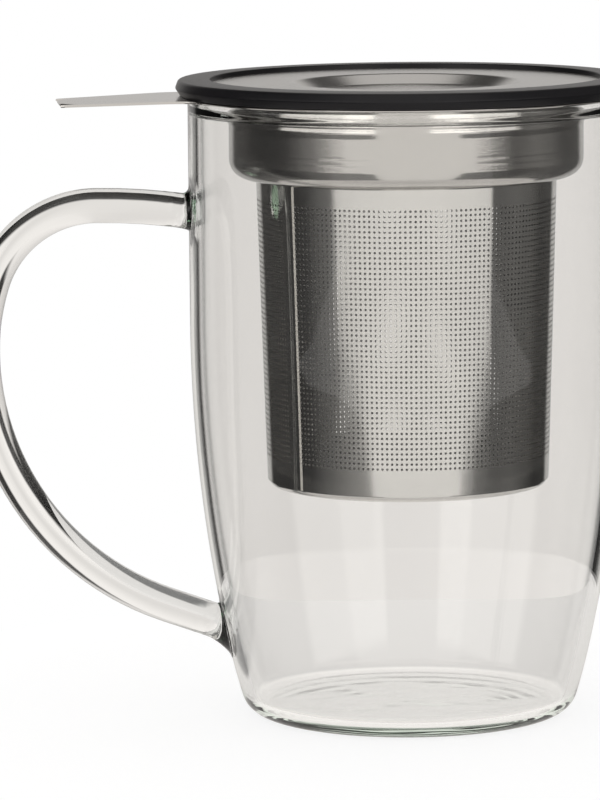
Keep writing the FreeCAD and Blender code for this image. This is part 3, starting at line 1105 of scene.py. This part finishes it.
def metal_studio(sums, azimuth, height, direction):
    """A broad front light with dimmer shoulders, dark sides, a pale backdrop and a light overhead."""
    beside = sums.times(sums.line(azimuth, SHOULDERS),
                        sums.step(height, *SHOULDER_HEIGHT, LOW_SHOULDER, 1.0))
    past_left = sums.plus(azimuth, sums.line(height, FRONT_LEFT))
    past_right = sums.minus(azimuth, sums.line(height, FRONT_RIGHT))
    front = sums.times(sums.step(past_left, -FRONT_SOFT, FRONT_SOFT),
                       sums.step(past_right, -FRONT_SOFT, FRONT_SOFT, 1.0, 0.0))
    level = sums.plus(beside, sums.times(front, sums.minus(1.0, beside)))
    aside = sums.math("ABSOLUTE", azimuth)
    back = sums.step(aside, BACK_EDGE - BACK_SOFT, BACK_EDGE + BACK_SOFT)
    back = sums.times(back, sums.step(height, *BACK_HEIGHT, 1.0, 0.0))
    level = sums.plus(level, sums.times(back, BACK_LEVEL))
    overhead = sums.spot(direction, OVERHEAD, OVERHEAD_SPREAD, OVERHEAD_SOFT)
    level = sums.math("MAXIMUM", level, sums.times(overhead, OVERHEAD_LEVEL))
    for middle, rise, half_width, half_height in BOXES:
        across = sums.math("ABSOLUTE", sums.minus(azimuth, middle))
        up = sums.math("ABSOLUTE", sums.minus(height, rise))
        box = sums.times(sums.step(across, half_width - BOX_SOFT, half_width + BOX_SOFT, 1.0, 0.0),
                         sums.step(up, half_height - BOX_SOFT, half_height + BOX_SOFT, 1.0, 0.0))
        level = sums.plus(level, sums.times(box, BOX_LEVEL))
    return level


def glass_studio(sums, behind, height):
    """The pale backdrop, with dark studio to its right, beyond the table and at both sides."""
    level = sums.math("MAXIMUM", sums.line(behind, BEHIND), sums.line(height, ABOVE))
    level = sums.times(level, sums.line(height, BELOW))
    low_left = sums.times(sums.line(behind, LOW_LEFT), sums.step(height, *LOW_LEFT_TOP, 1.0, 0.0))
    return sums.times(level, sums.minus(1.0, low_left))


def world():
    scene_world = bpy.data.worlds.new("studio")
    bpy.context.scene.world = scene_world
    scene_world.use_nodes = True
    tree = scene_world.node_tree
    sums = Sums(tree)
    place = tree.nodes.new("ShaderNodeTexCoord")
    turn = tree.nodes.new("ShaderNodeVectorRotate")
    turn.rotation_type = "Z_AXIS"
    turn.inputs["Angle"].default_value = CAMERA_TURN
    tree.links.new(place.outputs["Generated"], turn.inputs["Vector"])
    direction = turn.outputs["Vector"]
    x, y, z = sums.split(direction)
    azimuth = sums.math("DEGREES", sums.math("ARCTAN2", x, sums.times(y, -1.0)))
    behind = sums.math("DEGREES", sums.math("ARCTAN2", x, y))
    height = sums.math("DEGREES", sums.math("ARCSINE", z))
    metal = sums.blend(metal_studio(sums, azimuth, height, direction), BLACK, ROOM_TONE)
    glass = sums.blend(glass_studio(sums, behind, height), BLACK, BACKDROP)
    path = tree.nodes.new("ShaderNodeLightPath")
    mirrored = sums.math("GREATER_THAN", path.outputs["Glossy Depth"], 0.5)
    past_two = sums.math("ABSOLUTE", sums.minus(path.outputs["Transmission Depth"], 2.0))
    mirrored = sums.times(mirrored, sums.math("GREATER_THAN", past_two, 0.5))
    tone = sums.blend(mirrored, glass, metal)
    scattered = sums.math("GREATER_THAN", path.outputs["Diffuse Depth"], 0.5)
    tone = sums.blend(scattered, tone, WHITE)
    tone = sums.blend(path.outputs["Is Camera Ray"], tone, WHITE)
    background = tree.nodes["Background"]
    tree.links.new(tone, background.inputs["Color"])
    background.inputs["Strength"].default_value = 1.0


def camera():
    data = bpy.data.cameras.new("camera")
    data.sensor_fit = "HORIZONTAL"
    data.sensor_width = SENSOR
    data.lens = FOCAL_PIXELS * SENSOR / PICTURE_WIDTH
    data.clip_start, data.clip_end = CLIP
    eye = bpy.data.objects.new("camera", data)
    bpy.context.scene.collection.objects.link(eye)
    yaw = CAMERA_PAN - CAMERA_TURN
    ahead = Vector((-math.sin(yaw), math.cos(yaw), 0))
    forward = ahead * math.cos(CAMERA_TILT) - Vector((0, 0, 1)) * math.sin(CAMERA_TILT)
    right = forward.cross(Vector((0, 0, 1))).normalized()
    up = right.cross(forward)
    right_rolled = right * math.cos(CAMERA_ROLL) + up * math.sin(CAMERA_ROLL)
    up_rolled = right_rolled.cross(forward)
    rotation = Matrix((right_rolled, up_rolled, -forward)).transposed()
    eye.matrix_world = Matrix.Translation(CAMERA_PLACE) @ rotation.to_4x4()
    bpy.context.scene.camera = eye


def main():
    scene = bpy.context.scene
    scene.view_settings.view_transform = "Standard"
    scene.cycles.max_bounces = LIGHT_BOUNCES
    scene.cycles.glossy_bounces = LIGHT_BOUNCES
    scene.cycles.transmission_bounces = LIGHT_BOUNCES
    glass = glass_material()
    bright_steel = steel_material("bright_steel", *COLLAR_STEEL, brushed=COLLAR_BRUSHED)
    lid_steel = steel_material("lid_steel", *LID_STEEL)
    mesh_steel_painted_pale_inside = steel_material("mesh_steel_painted_pale_inside", *BASKET_STEEL, brushed=BASKET_BRUSHED,
                                painted_pale_inside=BASKET_PAINTED_PALE_INSIDE)
    silicone = silicone_material()
    mug_glass(glass)
    infuser_collar(bright_steel)
    basket(mesh_steel_painted_pale_inside)
    basket_floor(mesh_steel_painted_pale_inside)
    lid_plate(lid_steel)
    lid_ring(silicone)
    studio_floor()
    world()
    camera()


main()
